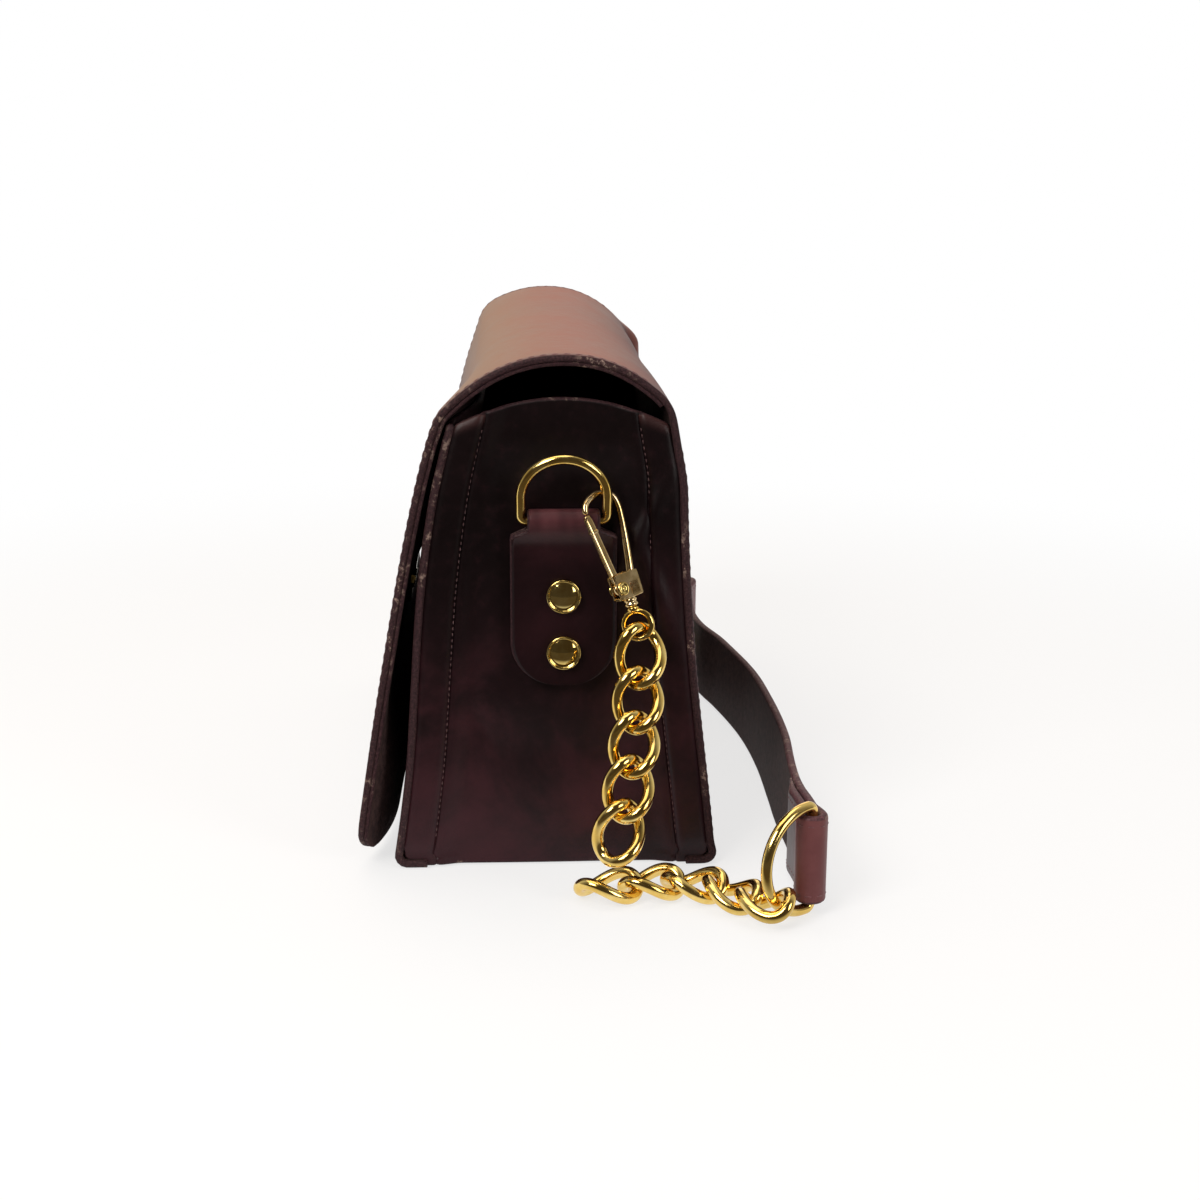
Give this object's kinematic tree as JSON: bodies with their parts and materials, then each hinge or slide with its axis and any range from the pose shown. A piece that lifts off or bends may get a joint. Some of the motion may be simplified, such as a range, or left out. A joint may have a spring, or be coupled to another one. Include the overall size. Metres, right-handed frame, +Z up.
{
  "type": "leather shoulder bag",
  "caption": "Stiff leather shoulder bag with a long arched flap, riveted end tabs with D-rings, trigger clasps, twisted link chains and a leather strap behind it.",
  "frame": {"origin": "middle of the underside of the base, on the surface that the bag stands on", "axes": "+X along the bag's length to its right hand end, -Y to its front where the flap hangs, +Z up"},
  "size_m": [0.3274, 0.1445, 0.1638],
  "materials": {
    "burgundy_leather": "smooth worn leather with a soft sheen",
    "dark_suede": "matt suede lining",
    "polished_gold": "polished gold plate",
    "pin_metal": "plain turned pin"
  },
  "bodies": {
    "bag": {"front_panel": "burgundy_leather", "back_panel": "burgundy_leather", "base_panel": "burgundy_leather", "gusset_right": "burgundy_leather", "gusset_left": "burgundy_leather", "tab_right": "burgundy_leather", "tab_left": "burgundy_leather", "rivet_lower_right": "polished_gold", "rivet_upper_right": "polished_gold", "rivet_lower_left": "polished_gold", "rivet_upper_left": "polished_gold", "snap_cup": "polished_gold", "strap": "burgundy_leather", "strap_ring_right": "polished_gold", "strap_ring_left": "polished_gold", "floor_link_1_right": "polished_gold", "floor_link_2_right": "polished_gold", "floor_link_3_right": "polished_gold", "floor_link_4_right": "polished_gold", "floor_link_5_right": "polished_gold", "floor_link_1_left": "polished_gold", "floor_link_2_left": "polished_gold", "floor_link_3_left": "polished_gold", "floor_link_4_left": "polished_gold", "floor_link_5_left": "polished_gold"},
    "flap": {"flap_leather": "burgundy_leather", "flap_lining": "dark_suede", "snap_stud": "polished_gold"},
    "ring_right": {"tab_ring_right": "polished_gold"},
    "clasp_right": {"clasp_hook_right": "polished_gold", "clasp_pin_right": "pin_metal"},
    "gate_right": {"clasp_gate_right": "polished_gold"},
    "swivel_right": {"clasp_swivel_right": "polished_gold"},
    "link_1_right": {"hanging_link_1_right": "polished_gold"},
    "link_2_right": {"hanging_link_2_right": "polished_gold"},
    "link_3_right": {"hanging_link_3_right": "polished_gold"},
    "link_4_right": {"hanging_link_4_right": "polished_gold"},
    "link_5_right": {"hanging_link_5_right": "polished_gold"},
    "ring_left": {"tab_ring_left": "polished_gold"},
    "clasp_left": {"clasp_hook_left": "polished_gold", "clasp_pin_left": "pin_metal"},
    "gate_left": {"clasp_gate_left": "polished_gold"},
    "swivel_left": {"clasp_swivel_left": "polished_gold"},
    "link_1_left": {"hanging_link_1_left": "polished_gold"},
    "link_2_left": {"hanging_link_2_left": "polished_gold"},
    "link_3_left": {"hanging_link_3_left": "polished_gold"},
    "link_4_left": {"hanging_link_4_left": "polished_gold"},
    "link_5_left": {"hanging_link_5_left": "polished_gold"}
  },
  "joints": [
    {"name": "flap_hinge", "type": "hinge", "parent": "bag", "child": "flap", "pos_m": [0, 0.0422, 0.1442], "axis": [-1, 0, 0], "range_deg": [0, 150]},
    {"name": "ring_right_hinge", "type": "hinge", "parent": "bag", "child": "ring_right", "pos_m": [0.1127, 0.0022, 0.1137], "axis": [0, 1, 0], "range_deg": [0, 38]},
    {"name": "clasp_right_tilt", "type": "hinge", "parent": "ring_right", "child": "clasp_right", "pos_m": [0.11477, 0.0153, 0.12091], "axis": [0, 1, 0], "range_deg": [-39, 1]},
    {"name": "gate_right_hinge", "type": "hinge", "parent": "clasp_right", "child": "gate_right", "pos_m": [0.12028, 0.01885, 0.09379], "axis": [0.7708, 0.5589, 0.3057], "range_deg": [0, 20], "stiffness_Nm_per_rad": 0.01},
    {"name": "swivel_right_turn", "type": "hinge", "parent": "clasp_right", "child": "swivel_right", "pos_m": [0.11958, 0.02295, 0.08805], "axis": [0.1602, 0.2944, -0.9422], "range_deg": [-20, 20]},
    {"name": "link_1_right_swing", "type": "hinge", "parent": "swivel_right", "child": "link_1_right", "pos_m": [0.12095, 0.02547, 0.08], "axis": [1, 0, 0], "range_deg": [-6, 15]},
    {"name": "link_2_right_swing", "type": "hinge", "parent": "link_1_right", "child": "link_2_right", "pos_m": [0.1254, 0.02484, 0.06727], "axis": [0, 1, 0], "range_deg": [-15, 5]},
    {"name": "link_3_right_swing", "type": "hinge", "parent": "link_2_right", "child": "link_3_right", "pos_m": [0.12963, 0.02368, 0.0545], "axis": [1, 0, 0], "range_deg": [-15, 15]},
    {"name": "link_4_right_swing", "type": "hinge", "parent": "link_3_right", "child": "link_4_right", "pos_m": [0.13368, 0.02214, 0.04171], "axis": [0, 1, 0], "range_deg": [-15, 5]},
    {"name": "link_5_right_swing", "type": "hinge", "parent": "link_4_right", "child": "link_5_right", "pos_m": [0.13763, 0.02, 0.02898], "axis": [1, 0, 0], "range_deg": [-15, 15]},
    {"name": "ring_left_hinge", "type": "hinge", "parent": "bag", "child": "ring_left", "pos_m": [-0.1127, 0.0022, 0.1137], "axis": [0, -1, 0], "range_deg": [0, 38]},
    {"name": "clasp_left_tilt", "type": "hinge", "parent": "ring_left", "child": "clasp_left", "pos_m": [-0.11477, 0.0153, 0.12091], "axis": [0, -1, 0], "range_deg": [-39, 1]},
    {"name": "gate_left_hinge", "type": "hinge", "parent": "clasp_left", "child": "gate_left", "pos_m": [-0.12028, 0.01885, 0.09379], "axis": [0.7708, -0.5589, -0.3057], "range_deg": [0, 20], "stiffness_Nm_per_rad": 0.01},
    {"name": "swivel_left_turn", "type": "hinge", "parent": "clasp_left", "child": "swivel_left", "pos_m": [-0.11958, 0.02295, 0.08805], "axis": [0.1602, -0.2944, 0.9422], "range_deg": [-20, 20]},
    {"name": "link_1_left_swing", "type": "hinge", "parent": "swivel_left", "child": "link_1_left", "pos_m": [-0.12095, 0.02547, 0.08], "axis": [1, 0, 0], "range_deg": [-6, 15]},
    {"name": "link_2_left_swing", "type": "hinge", "parent": "link_1_left", "child": "link_2_left", "pos_m": [-0.1254, 0.02484, 0.06727], "axis": [0, -1, 0], "range_deg": [-15, 5]},
    {"name": "link_3_left_swing", "type": "hinge", "parent": "link_2_left", "child": "link_3_left", "pos_m": [-0.12963, 0.02368, 0.0545], "axis": [1, 0, 0], "range_deg": [-15, 15]},
    {"name": "link_4_left_swing", "type": "hinge", "parent": "link_3_left", "child": "link_4_left", "pos_m": [-0.13368, 0.02214, 0.04171], "axis": [0, -1, 0], "range_deg": [-15, 5]},
    {"name": "link_5_left_swing", "type": "hinge", "parent": "link_4_left", "child": "link_5_left", "pos_m": [-0.13763, 0.02, 0.02898], "axis": [1, 0, 0], "range_deg": [-15, 15]}
  ],
  "couplings": [
    {"joint": "clasp_right_tilt", "follows": "ring_right_hinge", "ratio": -1},
    {"joint": "clasp_left_tilt", "follows": "ring_left_hinge", "ratio": -1}
  ]
}
